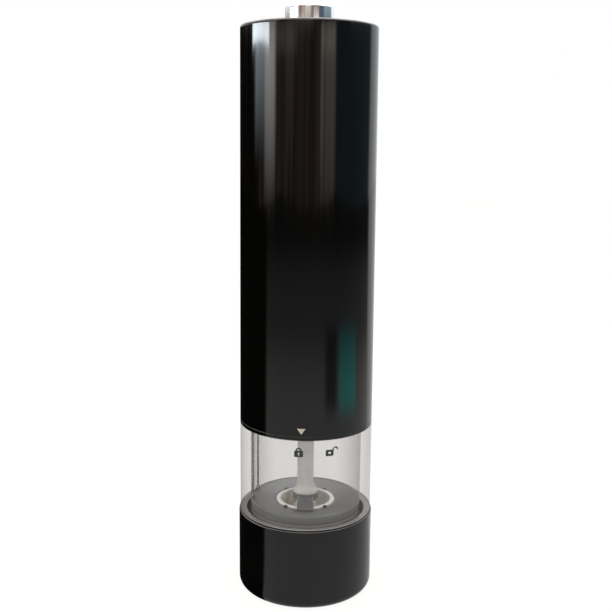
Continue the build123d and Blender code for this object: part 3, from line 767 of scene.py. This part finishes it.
def dim_room(tree, direction, turn):
    """Faint upright streaks, cooler on the right, that fade to dark at the back left."""
    stretch = tree.nodes.new("ShaderNodeMapping")
    stretch.inputs["Scale"].default_value = (1.0, 1.0, 0.06)
    tree.links.new(direction, stretch.inputs["Vector"])
    streaks = tree.nodes.new("ShaderNodeTexNoise")
    streaks.inputs["Scale"].default_value = 11.0
    streaks.inputs["Detail"].default_value = 4.0
    tree.links.new(stretch.outputs["Vector"], streaks.inputs["Vector"])
    warm = tree.nodes.new("ShaderNodeValToRGB")
    warm.color_ramp.elements[0].position = 0.36
    warm.color_ramp.elements[0].color = (0.040, 0.046, 0.055, 1)
    warm.color_ramp.elements[1].position = 0.66
    warm.color_ramp.elements[1].color = (0.36, 0.26, 0.21, 1)
    tree.links.new(streaks.outputs["Fac"], warm.inputs["Fac"])
    walls = mixed(tree, step(tree, turn, 42.0, 48.0), warm.outputs["Color"], (0.09, 0.135, 0.17))
    return scaled_colour(tree, walls, step(tree, apart(tree, turn, -130.0), 30.0, 52.0, 0.04, 1.0))


def surroundings():
    """White to the camera and to matt surfaces; gloss mirrors the dim room and its strips of light."""
    world = bpy.data.worlds.new("studio")
    bpy.context.scene.world = world
    world.use_nodes = True
    tree = world.node_tree
    direction = tree.nodes.new("ShaderNodeTexCoord").outputs["Generated"]
    turn, _, _, rise = angle_and_parts(tree, direction)

    def strip(below, centre, half, soft, low, high, strength, colour, topped=False):
        """Adds an upright soft strip of light, fading in upwards; a topped one ends below the button's strips."""
        across = step(tree, apart(tree, turn, centre), half - soft, half + soft, 1.0, 0.0)
        power = product(tree, across, step(tree, rise, low, high), strength)
        if topped:
            power = product(tree, power, step(tree, rise, 0.129, 0.136, 1.0, 0.0))
        total = tree.nodes.new("ShaderNodeVectorMath")
        total.operation = "ADD"
        tree.links.new(below, total.inputs[0])
        tree.links.new(scaled_colour(tree, colour, power), total.inputs[1])
        return total.outputs["Vector"]

    room = dim_room(tree, direction, turn)
    # streaks down the sleeve: the bright ones on the left, then the centre, then the right
    room = strip(room, -97.0, 3.5, 2.5, -0.03, 0.12, 1.8, COOL_WHITE, True)
    room = strip(room, -86.0, 9.0, 4.0, -0.02, 0.13, 2.8, COOL_WHITE, True)
    room = strip(room, -67.0, 10.0, 4.0, -0.09, 0.14, 4.8, GREY, True)
    room = strip(room, -40.0, 20.0, 5.0, 0.098, 0.114, 0.55, GREY, True)
    room = strip(room, -31.0, 5.0, 3.0, -0.10, 0.10, 0.38, (1.0, 0.72, 0.54))
    room = strip(room, 34.0, 9.0, 2.5, -0.20, 0.10, 0.75, WARM, True)
    room = strip(room, 21.0, 2.5, 2.0, -0.10, 0.06, 0.9, WARM, True)
    room = strip(room, 31.0, 12.0, 2.0, 0.098, 0.114, 1.0, WARM, True)
    # a low pale patch behind
    room = strip(room, 152.0, 31.0, 5.0, -0.40, -0.10, 0.85, GREY)
    # higher strips, mirrored by the button
    room = strip(room, -129.0, 34.0, 6.0, 0.130, 0.138, 1.05, GREY)
    room = strip(room, -84.0, 10.0, 3.0, 0.130, 0.138, 0.45, GREY)
    room = strip(room, -64.0, 9.0, 3.0, 0.130, 0.138, 1.2, GREY)
    room = strip(room, -8.0, 15.0, 4.0, 0.130, 0.138, 0.62, WARM)
    room = strip(room, 112.0, 42.0, 6.0, 0.130, 0.138, 0.32, COOL_WHITE)
    # an even glow from above
    room = strip(room, 0.0, 200.0, 5.0, 0.30, 0.60, 2.4, GREY)

    path = tree.nodes.new("ShaderNodeLightPath")
    studio = mixed(tree, path.outputs["Is Glossy Ray"], (1.5, 1.5, 1.48), room)
    shown = mixed(tree, path.outputs["Is Camera Ray"], studio, (1.0, 1.0, 1.0))
    tree.links.new(shown, tree.nodes["Background"].inputs["Color"])


def photo_camera():
    """In front on -Y, looking ten degrees down, with no shift."""
    camera = bpy.data.cameras.new("camera")
    camera.sensor_width = 36
    camera.lens = 53.24706
    eye = bpy.data.objects.new("camera", camera)
    bpy.context.scene.collection.objects.link(eye)
    distance, height = 0.3449, 0.1738
    pitch, roll, yaw = 0.1747, -0.0090, -0.0012
    forward = Vector((math.sin(yaw) * math.cos(pitch), math.cos(yaw) * math.cos(pitch), -math.sin(pitch)))
    right = Vector((math.cos(yaw), -math.sin(yaw), 0))
    down = forward.cross(right)
    across = right * math.cos(roll) + down * math.sin(roll)
    below = down * math.cos(roll) - right * math.sin(roll)
    eye.matrix_world = Matrix((
        (across.x, -below.x, -forward.x, 0),
        (across.y, -below.y, -forward.y, -distance),
        (across.z, -below.z, -forward.z, height),
        (0, 0, 0, 1)))
    return eye


studio_floor()
emitter("overhead", (1.3, 1.3), (0.1, 0.1, 1.3), (0, 0, 0.1), 2.2, (1, 0.99, 0.97))
window_z = 0.2905
emitter(
    "window_left_high", (0.42, 0.024), around_axis(-86, 0.62, window_z), (0, 0, window_z), 16.0, (0.86, 0.94, 1.0))
surroundings()
bpy.context.scene.camera = photo_camera()
bpy.context.scene.view_settings.view_transform = "Standard"
bpy.context.scene.view_settings.look = "None"
